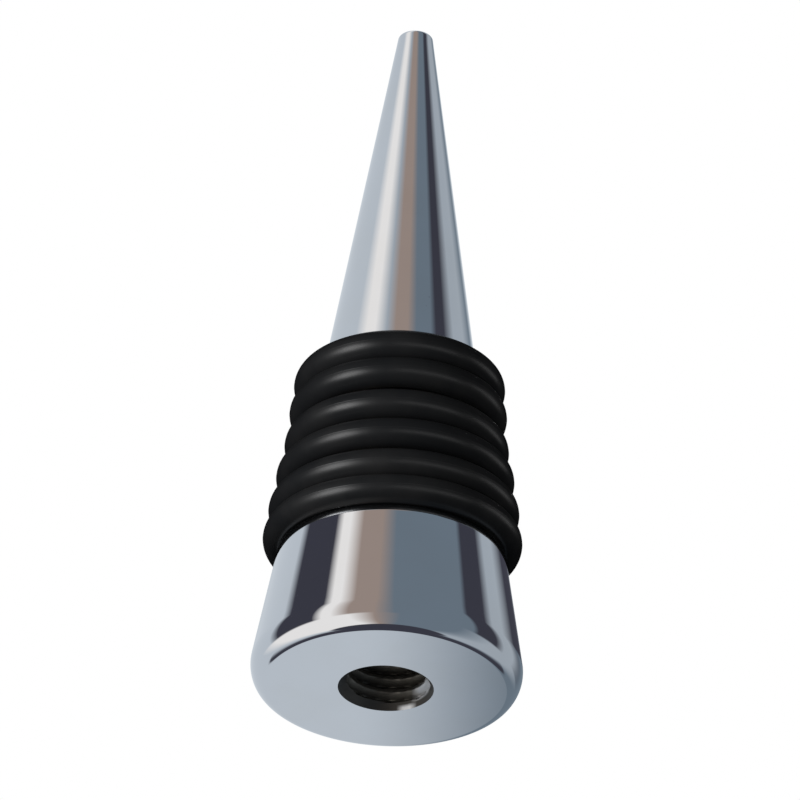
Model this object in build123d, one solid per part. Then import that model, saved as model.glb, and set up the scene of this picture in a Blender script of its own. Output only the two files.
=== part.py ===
from build123d import *
import os
from math import asin, atan2, degrees, hypot, radians, tan

# Bottle stopper: a tapered metal plug with six rubber O-rings and a tapped hole for a knob.
# Millimetres. The plug stands on its flat end face, with its axis on +Z and its tip up.

# Head: the wide plain end that stays outside the bottle
FACE_R = 10.2  # flat part of the end face
HEAD_R = 11.5  # widest radius
EDGE_LENGTH = 1.85  # the soft edge from the face to the widest radius
HEAD_LENGTH = 12.35
HEAD_END_R = 9.76

# Cone: ring seats and tip share one taper
SHOULDER_R = 9.3  # where the taper leaves the head
TIP_START = 64.35  # the taper ends here, and the rounded tip begins
TIP_START_R = 1.54
TIP_EDGE_R = 0.35

# M8 x 1.25 hole: the plain bore is the thread's minor diameter, 6.647
BORE_R = 3.3235
MOUTH_R = 4.05  # countersink at the face
BORE_DEPTH = 12.2  # full bore; the drill point goes on beyond it
DRILL_POINT_ANGLE = 118

# O-rings: a standard 2.65 section, and the gap between each ring and its turned seat
SECTION_R = 1.325
SEAT_CLEARANCE = 0.03

# From the tip to the head: height of the centre, outer radius, lean about X and about Y in degrees
RINGS = [
    (29.02, 9.05, 0.8, -0.9),
    (26.28, 9.31, 1.0, -0.8),
    (22.98, 9.59, 1.0, -0.1),
    (19.98, 10.16, 2.0, -0.9),
    (16.80, 10.68, 2.3, -1.1),
    (14.03, 11.03, 1.8, -0.7),
]


def ring_solid(height, outer_r, lean_x, lean_y, section_r):
    """A torus of the ring's outer radius, leaning a little as a stretched ring does."""
    return Pos(0, 0, height) * Rot(lean_x, lean_y, 0) * Torus(outer_r - SECTION_R, section_r)


def turned(outline):
    """The solid that a closed outline in the XZ half-plane sweeps around Z."""
    return revolve(make_face(outline), Axis.Z, 360)


def plug_blank():
    """Head, seat stretch and cone as one turned piece, before its holes and grooves."""
    # The soft edge is part of an ellipse. It goes a little past the widest radius, to where it runs
    # into the head's straight side without a kink.
    across = (HEAD_END_R - FACE_R) / (HEAD_R - FACE_R)
    along = (HEAD_LENGTH - EDGE_LENGTH) / EDGE_LENGTH
    run_on = degrees(asin(1 / hypot(across, along)) - atan2(across, along))
    edge = EllipticalCenterArc(
        (FACE_R, EDGE_LENGTH), HEAD_R - FACE_R, EDGE_LENGTH, start_angle=270, arc_size=90 + run_on
    )
    tip_flat_r = TIP_START_R - TIP_EDGE_R
    top = TIP_START + TIP_EDGE_R
    side = Polyline(
        edge @ 1,
        (HEAD_END_R, HEAD_LENGTH),
        (SHOULDER_R, HEAD_LENGTH),
        (TIP_START_R, TIP_START),
    )
    tip = CenterArc((tip_flat_r, TIP_START), TIP_EDGE_R, 0, 90)
    ends = Polyline((tip_flat_r, top), (0, top), (0, 0), (FACE_R, 0))
    return turned(Plane.XZ * Curve([edge, side, tip, ends]))


def knob_hole():
    """The blind hole's space: countersink, bore and drill point."""
    chamfer_depth = MOUTH_R - BORE_R
    point_depth = BORE_R / tan(radians(DRILL_POINT_ANGLE / 2))
    outline = Polyline(
        (0, 0),
        (MOUTH_R, 0),
        (BORE_R, chamfer_depth),
        (BORE_R, BORE_DEPTH),
        (0, BORE_DEPTH + point_depth),
        close=True,
    )
    return turned(Plane.XZ * outline)


def plug_body():
    """The plug with its tapped hole's bore and six turned ring seats."""
    body = plug_blank() - knob_hole()
    for ring in RINGS:
        body -= ring_solid(*ring, SECTION_R + SEAT_CLEARANCE)
    return body


os.makedirs("parts", exist_ok=True)
export_step(plug_body(), "parts/plug_body.step")
for number, ring in enumerate(RINGS, start=1):
    export_step(ring_solid(*ring, SECTION_R), f"parts/o_ring_{number}.step")
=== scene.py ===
"""Looks for the bottle stopper: a chromed plug with a cut M8 thread, six rubber O-rings, a light tent,
a pale floor and the camera. Lengths are in millimetres here and become metres on the mesh."""

import math

import bpy
import numpy as np
from mathutils import Matrix, Vector


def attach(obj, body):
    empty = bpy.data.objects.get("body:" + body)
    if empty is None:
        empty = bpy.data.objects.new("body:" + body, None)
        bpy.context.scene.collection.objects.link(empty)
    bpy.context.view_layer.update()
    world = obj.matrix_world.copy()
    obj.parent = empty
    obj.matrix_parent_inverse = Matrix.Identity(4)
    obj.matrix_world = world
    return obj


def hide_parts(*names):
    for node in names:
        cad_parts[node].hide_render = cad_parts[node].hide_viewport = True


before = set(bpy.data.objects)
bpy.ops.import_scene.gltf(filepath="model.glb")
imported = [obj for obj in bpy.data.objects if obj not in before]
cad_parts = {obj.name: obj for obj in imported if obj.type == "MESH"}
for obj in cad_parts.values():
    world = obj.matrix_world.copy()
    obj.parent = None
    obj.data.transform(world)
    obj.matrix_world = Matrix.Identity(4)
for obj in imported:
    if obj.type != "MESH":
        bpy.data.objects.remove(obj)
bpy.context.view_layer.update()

MM = 0.001
TURN = 2 * math.pi

# Camera: where it is, which way it looks, which way is right in the picture, and its lens and sensor
CAMERA = (15.43, -668.16, -357.18)
LOOKS_ALONG, PICTURE_RIGHT = (-0.0199, 0.8662, 0.4994), (0.99921, 0, 0.03984)
LENS, SENSOR = 405, 36

# Plug, as in the CAD, but with a head a hair smaller than the CAD's 11.5, to stay inside its facets
FACE_R, HEAD_R, EDGE_LENGTH = 10.2, 11.496, 1.85
HEAD_LENGTH, HEAD_END_R = 12.35, 9.76
SHOULDER_R = 9.3
TIP_START, TIP_START_R, TIP_EDGE_R = 64.35, 1.54, 0.35
BORE_R, MOUTH_R, BORE_DEPTH = 3.3235, 4.05, 12.2
DRILL_POINT_ANGLE = math.radians(118)
SECTION_R, SEAT_GAP = 1.325, 0.04
HEAD_EDGE = 0.12  # the rounding of the head's edge beside the last ring
FLAT_BAND = 0.02  # a narrow last row keeps the face's shading flat right up to the soft edge
PLUG_COLUMNS = 192

# M8 x 1.25 thread. The tap's run-out starts at THREAD_END and is over at THREAD_GONE.
PITCH, THREAD_R = 1.25, 4.0
ROOT_HALF, CREST_HALF = 1 / 16, 1 / 8  # half widths of the flat root and crest, in pitches
THREAD_END, THREAD_GONE = 10.6, BORE_DEPTH - 0.4

# O-rings: how far the section varies, and the mould's parting line
UNEVEN, FLASH, FLASH_WIDTH = 0.004, 0.008, math.radians(1.3)
RING_COLUMNS, SECTION_ROWS = 288, 58


# ---------------------------------------------------------------- mesh helpers
def mesh_object(name, verts, faces, materials, indices=None, sharp=35):
    """A smooth-shaded mesh from points in millimetres, with edges sharp above the given angle."""
    mesh = bpy.data.meshes.new(name)
    mesh.from_pydata((np.asarray(verts) * MM).tolist(), [], faces)
    for material in materials:
        mesh.materials.append(material)
    if indices is not None:
        mesh.polygons.foreach_set("material_index", indices)
    mesh.validate()
    mesh.shade_smooth()
    mesh.set_sharp_from_angle(angle=math.radians(sharp))
    obj = bpy.data.objects.new(name, mesh)
    bpy.context.scene.collection.objects.link(obj)
    return obj


def strip_faces(first, second, count):
    """Quads between two rings of count points each, whose first points are given."""
    return [
        (first + i, first + (i + 1) % count, second + (i + 1) % count, second + i)
        for i in range(count)
    ]


# ---------------------------------------------------------------- ring positions
def ring_pose(node):
    """Where a CAD ring lies: height, slope along X and Y, and radius of the circle its section runs on."""
    co = np.array([v.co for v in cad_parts[node].data.vertices], float) / MM
    design = np.column_stack([np.ones(len(co)), co[:, 0], co[:, 1]])
    height, slope_x, slope_y = np.linalg.lstsq(design, co[:, 2], rcond=None)[0]
    normal = np.array([-slope_x, -slope_y, 1.0])
    normal /= np.linalg.norm(normal)
    offset = co - np.array([0, 0, height])
    flat = offset - np.outer(offset @ normal, normal)
    return height, slope_x, slope_y, np.linalg.norm(flat, axis=1).max() - SECTION_R


RING_NODES = sorted(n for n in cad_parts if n.startswith("o_ring_"))
RINGS = [ring_pose(n) for n in RING_NODES]
SEATS_END = RINGS[0][0] + 1.6  # above this height the cone has no seats
SHADED_SEATS_END = RINGS[0][0] + 0.6  # painted shade: up to here the seats between the rings get the dark bore metal


# ---------------------------------------------------------------- plug mesh
def edge_end_angle():
    """Where the soft edge's ellipse meets the head's straight side without a kink."""
    a = (HEAD_END_R - FACE_R) / (HEAD_R - FACE_R)
    b = (HEAD_LENGTH - EDGE_LENGTH) / EDGE_LENGTH
    return math.asin(1 / math.hypot(a, b)) - math.atan2(a, b)


def outer_profile():
    """(radius, height) rows of the outside, from the countersink's rim to the middle of the tip."""
    rows = [(r, 0.0) for r in np.linspace(MOUTH_R, FACE_R - FLAT_BAND, 9)] + [(FACE_R, 0.0)]
    for t in np.linspace(-math.pi / 2, edge_end_angle(), 34)[1:]:
        rows.append((FACE_R + (HEAD_R - FACE_R) * math.cos(t), EDGE_LENGTH * (1 + math.sin(t))))
    r0, z0 = rows[-1]
    for s in np.linspace(0, 1, 15)[1:]:
        rows.append((r0 + (HEAD_END_R - r0) * s, z0 + (HEAD_LENGTH - z0) * s))
    # the side ends where the rounded edge starts, a little wider because of its lean
    rows[-1] = (HEAD_END_R + HEAD_EDGE * 0.16, HEAD_LENGTH - HEAD_EDGE)
    for t in np.radians([20, 45, 70, 90]):
        rows.append(
            (
                HEAD_END_R - HEAD_EDGE + HEAD_EDGE * math.cos(t),
                HEAD_LENGTH - HEAD_EDGE + HEAD_EDGE * math.sin(t),
            )
        )
    slope = (SHOULDER_R - TIP_START_R) / (TIP_START - HEAD_LENGTH)
    heights = np.concatenate(
        [np.arange(HEAD_LENGTH, SEATS_END, 0.12), np.linspace(SEATS_END, TIP_START, 40)]
    )
    rows += [(SHOULDER_R - slope * (z - HEAD_LENGTH), z) for z in heights]
    for t in np.radians(np.linspace(0, 90, 9)[1:]):
        rows.append(
            (TIP_START_R - TIP_EDGE_R * (1 - math.cos(t)), TIP_START + TIP_EDGE_R * math.sin(t))
        )
    top = TIP_START + TIP_EDGE_R
    return rows + [(0.8, top), (0.4, top)]


def seat_radius(theta, radius, z):
    """The plug's radius at this height, less where a ring's seat is turned into it."""
    wall = np.full_like(theta, radius)
    seat = SECTION_R + SEAT_GAP
    for height, slope_x, slope_y, circle in RINGS:
        centre = height + circle * (slope_x * np.cos(theta) + slope_y * np.sin(theta))
        inside = seat**2 - (z - centre) ** 2
        cut = circle - np.sqrt(np.clip(inside, 0, None))
        wall = np.where(inside > 0, np.minimum(wall, cut), wall)
    return wall


def thread_radius(theta, z):
    """The tapped hole's radius: a 60 degree right-hand thread, the countersink and the tap's run-out."""
    phase = np.abs((z / PITCH - theta / TURN) % 1.0 - 0.5)  # 0 at the root's middle, 0.5 at the crest's
    rise = np.clip((phase - ROOT_HALF) / (0.5 - CREST_HALF - ROOT_HALF), 0, 1)
    fade = np.clip((THREAD_GONE - z) / (THREAD_GONE - THREAD_END), 0, 1)
    radius = BORE_R + (THREAD_R - BORE_R) * (1 - rise) * fade
    return np.maximum(radius, MOUTH_R - z)


def build_plug(chrome, bore_metal):
    """The plug as rings of points, from the bottom of the bore out to the face and up to the tip."""
    theta = np.arange(PLUG_COLUMNS) * TURN / PLUG_COLUMNS
    c, s = np.cos(theta), np.sin(theta)
    depth_rows = np.concatenate(
        [np.linspace(0.1, 0.7, 7), np.arange(0.76, BORE_DEPTH, PITCH / 20), [BORE_DEPTH]]
    )
    walls = [(thread_radius(theta, z), z) for z in depth_rows[::-1]]
    for r, z in outer_profile():
        wall = np.full(PLUG_COLUMNS, r)
        if HEAD_LENGTH < z < SEATS_END:
            wall = seat_radius(theta, r, z)
        walls.append((wall, z))
    rings = [np.column_stack([r * c, r * s, np.full(PLUG_COLUMNS, z)]) for r, z in walls]
    point_z = BORE_DEPTH + BORE_R / math.tan(DRILL_POINT_ANGLE / 2)
    verts = np.vstack(rings + [[[0, 0, point_z]], [[0, 0, TIP_START + TIP_EDGE_R]]])
    faces, indices = [], []
    for i, (_, z) in enumerate(walls[:-1]):
        faces += strip_faces(i * PLUG_COLUMNS, (i + 1) * PLUG_COLUMNS, PLUG_COLUMNS)
        in_bore = i < len(depth_rows)
        # painted shade: the seats low between the rings take the dark bore metal
        in_shaded_seats = not in_bore and HEAD_LENGTH <= z < SHADED_SEATS_END
        indices += [1 if in_bore or in_shaded_seats else 0] * PLUG_COLUMNS
    drill, tip, last = len(verts) - 2, len(verts) - 1, (len(rings) - 1) * PLUG_COLUMNS
    faces += [(drill, (i + 1) % PLUG_COLUMNS, i) for i in range(PLUG_COLUMNS)]
    indices += [1] * PLUG_COLUMNS
    faces += [(last + i, last + (i + 1) % PLUG_COLUMNS, tip) for i in range(PLUG_COLUMNS)]
    indices += [0] * PLUG_COLUMNS
    return mesh_object("plug", verts, faces, [chrome, bore_metal], indices)


# ---------------------------------------------------------------- O-ring meshes
def build_ring(node, pose, rubber, seed):
    """One ring: a slightly uneven round section with the mould's thin parting line on its outside."""
    height, slope_x, slope_y, circle = pose
    normal = Vector((-slope_x, -slope_y, 1)).normalized()
    across = Vector((0, 1, 0)).cross(normal).normalized()
    along = normal.cross(across)
    rng = np.random.default_rng(seed)
    waves = [(k, rng.uniform(0, TURN), rng.uniform(0.4, 1.0)) for k in (2, 3, 5, 9)]
    fine = np.radians([-4.5, -3, -2, -1.2, -0.6, 0, 0.6, 1.2, 2, 3, 4.5])
    section = np.concatenate([fine, np.radians(np.linspace(9, 351, SECTION_ROWS))])
    verts = []
    for i in range(RING_COLUMNS):
        t = i * TURN / RING_COLUMNS
        out = np.array(across * math.cos(t) + along * math.sin(t))
        uneven = sum(a * math.sin(k * t + p) for k, p, a in waves) * UNEVEN
        for a in section:
            off = min(a, TURN - a) if a > 0 else -a
            flash = FLASH * math.exp(-((off / FLASH_WIDTH) ** 2))
            r = SECTION_R + uneven * math.cos(a) + flash
            point = out * (circle + r * math.cos(a)) + np.array(normal) * r * math.sin(a)
            verts.append(point + np.array([0, 0, height]))
    n = len(section)
    faces = [
        (
            i * n + j,
            (i + 1) % RING_COLUMNS * n + j,
            (i + 1) % RING_COLUMNS * n + (j + 1) % n,
            i * n + (j + 1) % n,
        )
        for i in range(RING_COLUMNS)
        for j in range(n)
    ]
    return mesh_object(node + "_rubber", verts, faces, [rubber], sharp=80)


# ---------------------------------------------------------------- materials
class Nodes:
    """A short way to write a material's node tree."""

    def __init__(self, name):
        self.material = bpy.data.materials.new(name)
        self.material.use_nodes = True
        self.tree = self.material.node_tree
        self.shader = self.tree.nodes["Principled BSDF"]

    def add(self, kind, **inputs):
        """A new node with these inputs. A name that starts with _ is a setting of the node."""
        node = self.tree.nodes.new("ShaderNode" + kind)
        for key, value in inputs.items():
            if key.startswith("_"):
                setattr(node, key[1:], value)
            else:
                self.set(node.inputs[key], value)
        return node

    def set(self, socket, value):
        """Link a node's output to the socket, or set a plain number or colour on it."""
        if isinstance(value, bpy.types.NodeSocket):
            self.tree.links.new(value, socket)
        else:
            socket.default_value = value

    def math(self, operation, a, b):
        node = self.tree.nodes.new("ShaderNodeMath")
        node.operation = operation
        for socket, value in zip(node.inputs, (a, b)):
            self.set(socket, value)
        return node.outputs[0]

    def times(self, *factors):
        """The product of two or more values."""
        product = factors[0]
        for factor in factors[1:]:
            product = self.math("MULTIPLY", product, factor)
        return product

    def ramp(self, value, low, high, to_low=0.0, to_high=1.0):
        """The value's way from low to high, as 0 to 1 or between the two ends given."""
        node = self.add("MapRange", _clamp=True)
        for socket, v in zip(node.inputs, (value, low, high, to_low, to_high)):
            self.set(socket, v)
        return node.outputs[0]

    def mix(self, factor, a, b):
        node = self.tree.nodes.new("ShaderNodeMix")
        node.data_type = "RGBA"
        self.set(node.inputs["Factor"], factor)
        self.set(node.inputs["A"], a)
        self.set(node.inputs["B"], b)
        return node.outputs["Result"]

    def noise(self, where, scale, detail):
        node = self.add("TexNoise", Vector=where, Scale=scale, Detail=detail, Roughness=0.55)
        return node.outputs[0]

    def spots(self, where, scale, size):
        """1 inside small spots, one to some cells of a grid this many to the metre."""
        node = self.add("TexVoronoi", Vector=where, Scale=scale)
        return self.ramp(node.outputs["Distance"], size, size * 0.5)

    def stretched(self, where, turn, scale):
        """The point turned and then scaled along each axis, for noise that runs out into streaks."""
        mapping = self.add("Mapping", Vector=where, Rotation=turn, Scale=scale)
        return mapping.outputs["Vector"]

    def bumps(self, height, strength, distance):
        bump = self.add("Bump", Height=height, Strength=strength, Distance=distance)
        self.set(self.shader.inputs["Normal"], bump.outputs[0])


def chrome_material():
    """Bright chrome that has been handled: fine scratches, smudges, pinpricks and soft scuffs."""
    n = Nodes("chrome_plate")
    where = n.add("TexCoord").outputs["Object"]
    smudge = n.ramp(n.noise(where, 140, 5), 0.45, 0.8)
    haze = n.ramp(n.noise(where, 420, 3), 0.35, 0.75)
    one_way = n.stretched(where, (0.3, 0.2, 0.9), (260, 9000, 2600))
    other_way = n.stretched(where, (1.2, 0.7, 0.1), (7000, 240, 3000))
    hair_a = n.ramp(n.noise(one_way, 1, 2), 0.66, 0.72)
    hair_b = n.ramp(n.noise(other_way, 1, 2), 0.67, 0.73)
    patchy = n.ramp(n.noise(where, 95, 2), 0.5, 0.62)
    scratches = n.times(n.math("MAXIMUM", hair_a, hair_b), patchy)
    pricks = n.times(n.spots(where, 900, 0.06), n.ramp(smudge, 0.4, 0.6))
    rough = n.math("ADD", n.times(smudge, 0.03), n.times(haze, 0.01))
    rough = n.math("ADD", rough, n.times(scratches, 0.045))
    n.set(n.shader.inputs["Roughness"], n.math("ADD", rough, 0.022))
    tint = n.mix(smudge, (0.62, 0.64, 0.67, 1), (0.60, 0.615, 0.635, 1))
    n.set(n.shader.inputs["Base Color"], n.mix(pricks, tint, (0.42, 0.43, 0.45, 1)))
    n.shader.inputs["Metallic"].default_value = 1.0
    wave = n.times(n.noise(where, 260, 1), 0.5)
    height = n.math("SUBTRACT", wave, n.times(scratches, 0.04))
    n.bumps(n.math("SUBTRACT", height, n.times(pricks, 0.5)), 0.12, 0.00004)
    return n.material


def bore_material():
    """Inside the tapped hole the plating is thin, and cutting oil has darkened the metal; the dark colour is
    partly painted shade deep in the hole as well.
    The countersink is painted darker still, as painted shade. On one side of the mouth, a bright patch along
    the countersink's inner lip and on a short piece of its rim is a painted glint. The rings' seats get the
    same dark metal, as painted shade between the rings."""
    n = Nodes("tapped_metal")
    where = n.add("TexCoord").outputs["Object"]
    stain = n.ramp(n.noise(where, 500, 4), 0.35, 0.7)
    # stained dark metal, its darkness partly painted shade deep in the hole
    colour = n.mix(stain, (0.17, 0.165, 0.145, 1), (0.09, 0.084, 0.074, 1))
    spot = n.add("SeparateXYZ", Vector=where)
    x, y, z = (spot.outputs[axis] for axis in "XYZ")
    # painted shade: the countersink, up to 0.9 mm deep, is painted darker than the hole to dim what it
    # mirrors
    colour = n.mix(n.ramp(z, 0.0009, 0.0006), colour, (0.045, 0.042, 0.038, 1))
    # painted glints: bright patches on the countersink's inner lip and on a short piece of its rim
    lip_glint = n.times(n.ramp(z, 0.0003, 0.0005), n.ramp(z, 0.0016, 0.0012))
    lip_glint = n.times(lip_glint, n.ramp(x, 0.0021, 0.0028), n.ramp(y, -0.001, 0.0005))
    rim_glint = n.times(n.ramp(z, 0.00035, 0.00015), n.ramp(y, 0.002, 0.003))
    rim_glint = n.times(rim_glint, n.ramp(x, 0.0009, 0.0014), n.ramp(x, 0.0026, 0.0020))
    painted_glints = n.math("MAXIMUM", lip_glint, rim_glint)
    n.set(n.shader.inputs["Base Color"], n.mix(painted_glints, colour, (0.66, 0.68, 0.70, 1)))
    n.shader.inputs["Metallic"].default_value = 0.75
    n.set(n.shader.inputs["Roughness"], n.ramp(stain, 0, 1, 0.4, 0.6))
    n.bumps(n.noise(n.stretched(where, (0, 0, 0), (900, 900, 6000)), 1, 3), 0.25, 0.00003)
    return n.material


def rubber_material():
    """Matte black rubber with a fine moulded grain, a faint bloom and a few specks of dust."""
    n = Nodes("black_rubber")
    where = n.add("TexCoord").outputs["Object"]
    bloom = n.ramp(n.noise(where, 260, 5), 0.4, 0.75)
    dust = n.times(n.spots(where, 420, 0.09), n.ramp(n.noise(where, 160, 1), 0.58, 0.62))
    colour = n.mix(bloom, (0.010, 0.0105, 0.0115, 1), (0.015, 0.015, 0.0155, 1))
    n.set(n.shader.inputs["Base Color"], n.mix(dust, colour, (0.22, 0.21, 0.19, 1)))
    n.set(n.shader.inputs["Roughness"], n.ramp(bloom, 0, 1, 0.34, 0.40))
    n.shader.inputs["Specular IOR Level"].default_value = 0.2
    grain = n.times(n.noise(where, 9000, 3), 0.6)
    n.bumps(n.math("ADD", grain, dust), 0.25, 0.00002)
    return n.material


# ---------------------------------------------------------------- light tent
# A tent of soft panels round the object, which only mirror reflections on the chrome see. Each row is a set
# of upright panels in a few plain paints, and degrees go round the tent from the front towards +X.
TENT_R, TENT_TOP, TENT_BOTTOM, TENT_COLUMNS = 100, 210, -125, 720
WHITE, PALE, COOL = (1.2, 1.15, 1.1), (0.7, 0.75, 0.8), (0.5, 0.55, 0.6)
WARM, SLATE, DARK = (0.45, 0.35, 0.3), (0.2, 0.25, 0.3), (0.06, 0.06, 0.08)
SOFT = 5  # how soft the panels' upper and lower edges are

# The cone and the tip mirror the upper panels. They start above SPLIT, which drops towards the back.
UPPER = [
    (-180, PALE), (-80, PALE), (-60, WHITE), (-45, WHITE), (-25, COOL), (-10, WARM), (10, WARM),
    (25, SLATE), (50, SLATE), (60, DARK), (75, DARK), (95, COOL), (120, COOL), (145, SLATE),
    (165, PALE), (180, PALE),
]
SPLIT, DROP = 125, 40
# The head's side mirrors the panels below them: a dark flag and a strip light at the left, and a dark flag
# at the right
LOWER = [
    (-180, COOL), (-150, PALE), (-105, PALE), (-95, DARK), (-60, DARK), (-52, WHITE), (-44, WHITE),
    (-30, WARM), (-10, WARM), (5, SLATE), (70, SLATE), (75, DARK), (95, DARK), (105, COOL), (120, COOL),
    (140, DARK), (160, DARK), (180, COOL),
]
# The head's near edge mirrors low panels, and then the dark stand under the object
LOW_TOP, STAND_R, STAND_TOP = -10, 55, -66
LOW = [
    (-180, PALE), (-120, PALE), (-100, WHITE), (-30, WHITE), (-10, WARM), (10, SLATE), (60, SLATE),
    (90, COOL), (180, COOL),
]
# The end face mirrors one pale panel on the back wall, which gets darker between these two places
FACE_LEFT, FACE_RIGHT = -6, 14


def around(row, degrees):
    """The paint of a row of panels at these degrees, with soft edges between the panels."""
    places = [place for place, _ in row]
    paints = np.array([paint for _, paint in row])
    return np.column_stack([np.interp(degrees, places, channel) for channel in paints.T])


def smooth(low, high, value):
    """0 up to low, 1 from high on, with a soft step between."""
    s = np.clip((value - low) / (high - low), 0, 1)
    return s * s * (3 - 2 * s)


def blend(colour, other, weight):
    """The colours, moved towards another one by their weights."""
    return colour + (np.asarray(other) - colour) * weight[:, None]


def tent_colours(points):
    """Panel colours at points of the tent."""
    x, y, z = points.T
    degrees = np.degrees(np.arctan2(x, -y))
    level = z + DROP / 2 * (1 - np.cos(np.radians(degrees)))
    is_upper = smooth(SPLIT - SOFT, SPLIT + SOFT, level)
    colour = blend(around(LOWER, degrees), around(UPPER, degrees), is_upper)
    colour = blend(colour, around(LOW, degrees), smooth(LOW_TOP + SOFT, LOW_TOP - SOFT, z))
    behind = smooth(120, 150, np.abs(degrees))
    back_wall = blend(np.tile(PALE, (len(x), 1)), SLATE, smooth(FACE_LEFT, FACE_RIGHT, x))
    colour = blend(colour, back_wall, behind * smooth(100, 90, level))
    on_floor = smooth(STAND_R + SOFT, STAND_R - SOFT, np.hypot(x, y)) * (z < 0)
    stand = np.maximum(on_floor, behind * smooth(STAND_TOP + SOFT / 2, STAND_TOP - SOFT / 2, z))
    return blend(colour, DARK, stand)


def only_for(objects, name):
    """A light-linking collection: a light that has it lights these objects alone."""
    lit = bpy.data.collections.new(name)
    for obj in objects:
        lit.objects.link(obj)
    return lit


def build_tent(plug):
    """The tent's wall, bottom and top, with its panels' colours on the points."""
    columns = TENT_COLUMNS
    angle = np.arange(columns) * TURN / columns
    spans = ((TENT_BOTTOM, 60, 2.5), (60, 120, 0.75), (120, TENT_TOP + 1, 2.5))
    levels = np.concatenate([np.arange(*span) for span in spans])
    rings = [(r, TENT_BOTTOM) for r in np.arange(2, TENT_R, 2)]
    rings += [(TENT_R, z) for z in levels]
    rings += [(r, TENT_TOP) for r in np.arange(TENT_R - 10, 0, -10)]
    verts = np.vstack(
        [
            np.column_stack([r * np.sin(angle), -r * np.cos(angle), np.full(columns, z)])
            for r, z in rings
        ]
    )
    faces = []
    for i in range(len(rings) - 1):
        faces += strip_faces(i * columns, (i + 1) * columns, columns)
    faces += [tuple(range(columns)), tuple(range(len(verts) - 1, len(verts) - columns - 1, -1))]
    material = bpy.data.materials.new("tent_panels")
    material.use_nodes = True
    tree = material.node_tree
    tree.nodes.clear()
    colour = tree.nodes.new("ShaderNodeAttribute")
    colour.attribute_name = "panel"
    glow = tree.nodes.new("ShaderNodeEmission")
    output = tree.nodes.new("ShaderNodeOutputMaterial")
    tree.links.new(colour.outputs["Color"], glow.inputs["Color"])
    tree.links.new(glow.outputs[0], output.inputs["Surface"])
    material.cycles.emission_sampling = "NONE"
    tent = mesh_object("light_tent", verts, faces, [material])
    panel = tent.data.color_attributes.new("panel", "FLOAT_COLOR", "POINT")
    rgba = np.column_stack([tent_colours(verts), np.ones(len(verts))])
    panel.data.foreach_set("color", rgba.astype(np.float32).ravel())
    for kind in ("camera", "diffuse", "transmission", "volume_scatter", "shadow"):
        setattr(tent, "visible_" + kind, False)
    tent.light_linking.receiver_collection = only_for([plug], "mirrors_the_tent")


def build_softboxes(rings):
    """Softboxes for the rubber alone. The round one at the left draws a soft arc along each ring, and the dim
    ones carry the arcs on to the right."""
    lit = only_for(rings, "lit_by_softboxes")
    for name, shape, width, height, energy, place in (
        ("softbox", "ELLIPSE", 0.05, 0.05, 0.085, (-73, -61, 14)),
        ("wide_softbox", "RECTANGLE", 0.15, 0.02, 0.020, (42, -74, 6)),
        ("side_softbox", "RECTANGLE", 0.07, 0.02, 0.0075, (92, 12, 28)),
    ):
        lamp = bpy.data.lights.new(name, "AREA")
        lamp.shape = shape
        lamp.size, lamp.size_y = width, height
        lamp.energy = energy
        obj = bpy.data.objects.new(name, lamp)
        bpy.context.scene.collection.objects.link(obj)
        obj.location = Vector(place) * MM
        towards_rings = Vector((0, 0, 22)) * MM - obj.location
        obj.rotation_euler = towards_rings.to_track_quat("-Z", "Y").to_euler()
        obj.visible_camera = False
        obj.light_linking.receiver_collection = lit


# ---------------------------------------------------------------- floor, world, lamp, camera
def build_floor():
    """A pale floor just under the end face. It shows only from above, and fades out well past the object."""
    columns, drop = 96, -0.02
    angle = np.arange(columns) * TURN / columns
    radii = (40, 150, 500, 1500)
    rings = [
        np.column_stack([r * np.cos(angle), r * np.sin(angle), np.full(columns, drop)]) for r in radii
    ]
    verts = np.vstack([[[0, 0, drop]]] + rings)
    faces = [(0, 1 + i, 1 + (i + 1) % columns) for i in range(columns)]
    for k in range(len(radii) - 1):
        inner = 1 + k * columns
        faces += [face[::-1] for face in strip_faces(inner, inner + columns, columns)]
    n = Nodes("pale_floor")
    tree = n.tree
    where = n.add("TexCoord").outputs["Object"]
    grain = n.noise(where, 600, 3)
    colour = n.mix(grain, (0.80, 0.80, 0.80, 1), (0.84, 0.84, 0.835, 1))
    n.set(n.shader.inputs["Base Color"], colour)
    n.shader.inputs["Roughness"].default_value = 0.8
    n.shader.inputs["Specular IOR Level"].default_value = 0.1
    away = n.add("VectorMath", _operation="LENGTH", Vector=where)
    fade = n.ramp(away.outputs["Value"], 0.25, 1.2)
    under = n.add("NewGeometry").outputs["Backfacing"]
    clear = n.add("BsdfTransparent")
    mix = n.add("MixShader")
    tree.links.new(n.math("MAXIMUM", fade, under), mix.inputs[0])
    tree.links.new(n.shader.outputs[0], mix.inputs[1])
    tree.links.new(clear.outputs[0], mix.inputs[2])
    tree.links.new(mix.outputs[0], tree.nodes["Material Output"].inputs["Surface"])
    floor = mesh_object("floor", verts, faces, [n.material])
    for kind in ("diffuse", "glossy", "transmission", "volume_scatter", "shadow"):
        setattr(floor, "visible_" + kind, False)


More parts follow.
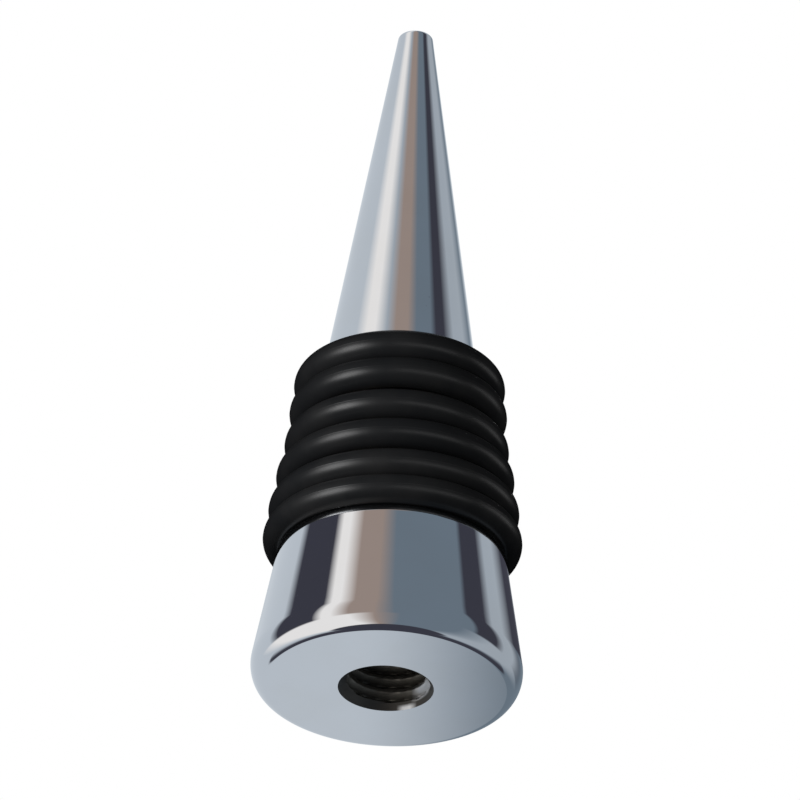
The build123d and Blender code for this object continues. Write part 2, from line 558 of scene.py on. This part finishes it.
def build_world():
    """White behind the object, and even soft light on everything that isn't a mirror."""
    world = bpy.data.worlds.new("studio")
    bpy.context.scene.world = world
    world.use_nodes = True
    tree = world.node_tree
    tree.nodes.clear()
    backdrop = tree.nodes.new("ShaderNodeBackground")
    backdrop.inputs["Color"].default_value = (1, 1, 1, 1)
    light = tree.nodes.new("ShaderNodeBackground")
    light.inputs["Color"].default_value = (0.97, 0.99, 1, 1)
    light.inputs["Strength"].default_value = 0.22
    path = tree.nodes.new("ShaderNodeLightPath")
    mix = tree.nodes.new("ShaderNodeMixShader")
    output = tree.nodes.new("ShaderNodeOutputWorld")
    tree.links.new(path.outputs["Is Camera Ray"], mix.inputs[0])
    tree.links.new(light.outputs[0], mix.inputs[1])
    tree.links.new(backdrop.outputs[0], mix.inputs[2])
    tree.links.new(mix.outputs[0], output.inputs["Surface"])


def build_lamp():
    """One large soft lamp from above and behind, which gives the floor its shadow."""
    lamp = bpy.data.lights.new("soft_lamp", "AREA")
    lamp.shape = "DISK"
    lamp.size = 0.5
    lamp.energy = 7.5
    obj = bpy.data.objects.new("soft_lamp", lamp)
    bpy.context.scene.collection.objects.link(obj)
    obj.location = (0.2, 0.5, 0.6)
    obj.rotation_euler = (-Vector(obj.location)).to_track_quat("-Z", "Y").to_euler()
    obj.visible_glossy = False
    obj.visible_camera = False


def build_camera():
    """Below and in front of the object, looking up 30 degrees at its end face and along its taper."""
    position = Vector(CAMERA) * MM
    forward = Vector(LOOKS_ALONG).normalized()
    right = Vector(PICTURE_RIGHT)
    right = (right - right.dot(forward) * forward).normalized()
    up = right.cross(forward)
    camera = bpy.data.cameras.new("camera")
    camera.lens, camera.sensor_width = LENS, SENSOR
    camera.clip_start, camera.clip_end = 0.01, 20
    obj = bpy.data.objects.new("camera", camera)
    bpy.context.scene.collection.objects.link(obj)
    axes = Matrix((right, up, -forward)).transposed().to_4x4()
    obj.matrix_world = Matrix.Translation(position) @ axes
    bpy.context.scene.camera = obj


# ---------------------------------------------------------------- the scene
plug = build_plug(chrome_material(), bore_material())
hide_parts("plug_body")
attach(plug, "root")

rubber = rubber_material()
rubber_rings = []
for seed, (node, pose) in enumerate(zip(RING_NODES, RINGS), start=1):
    ring = build_ring(node, pose, rubber, seed)
    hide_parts(node)
    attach(ring, "root")
    rubber_rings.append(ring)

build_tent(plug)
build_softboxes(rubber_rings)
build_floor()
build_world()
build_lamp()
build_camera()
bpy.context.scene.view_settings.view_transform = "Standard"
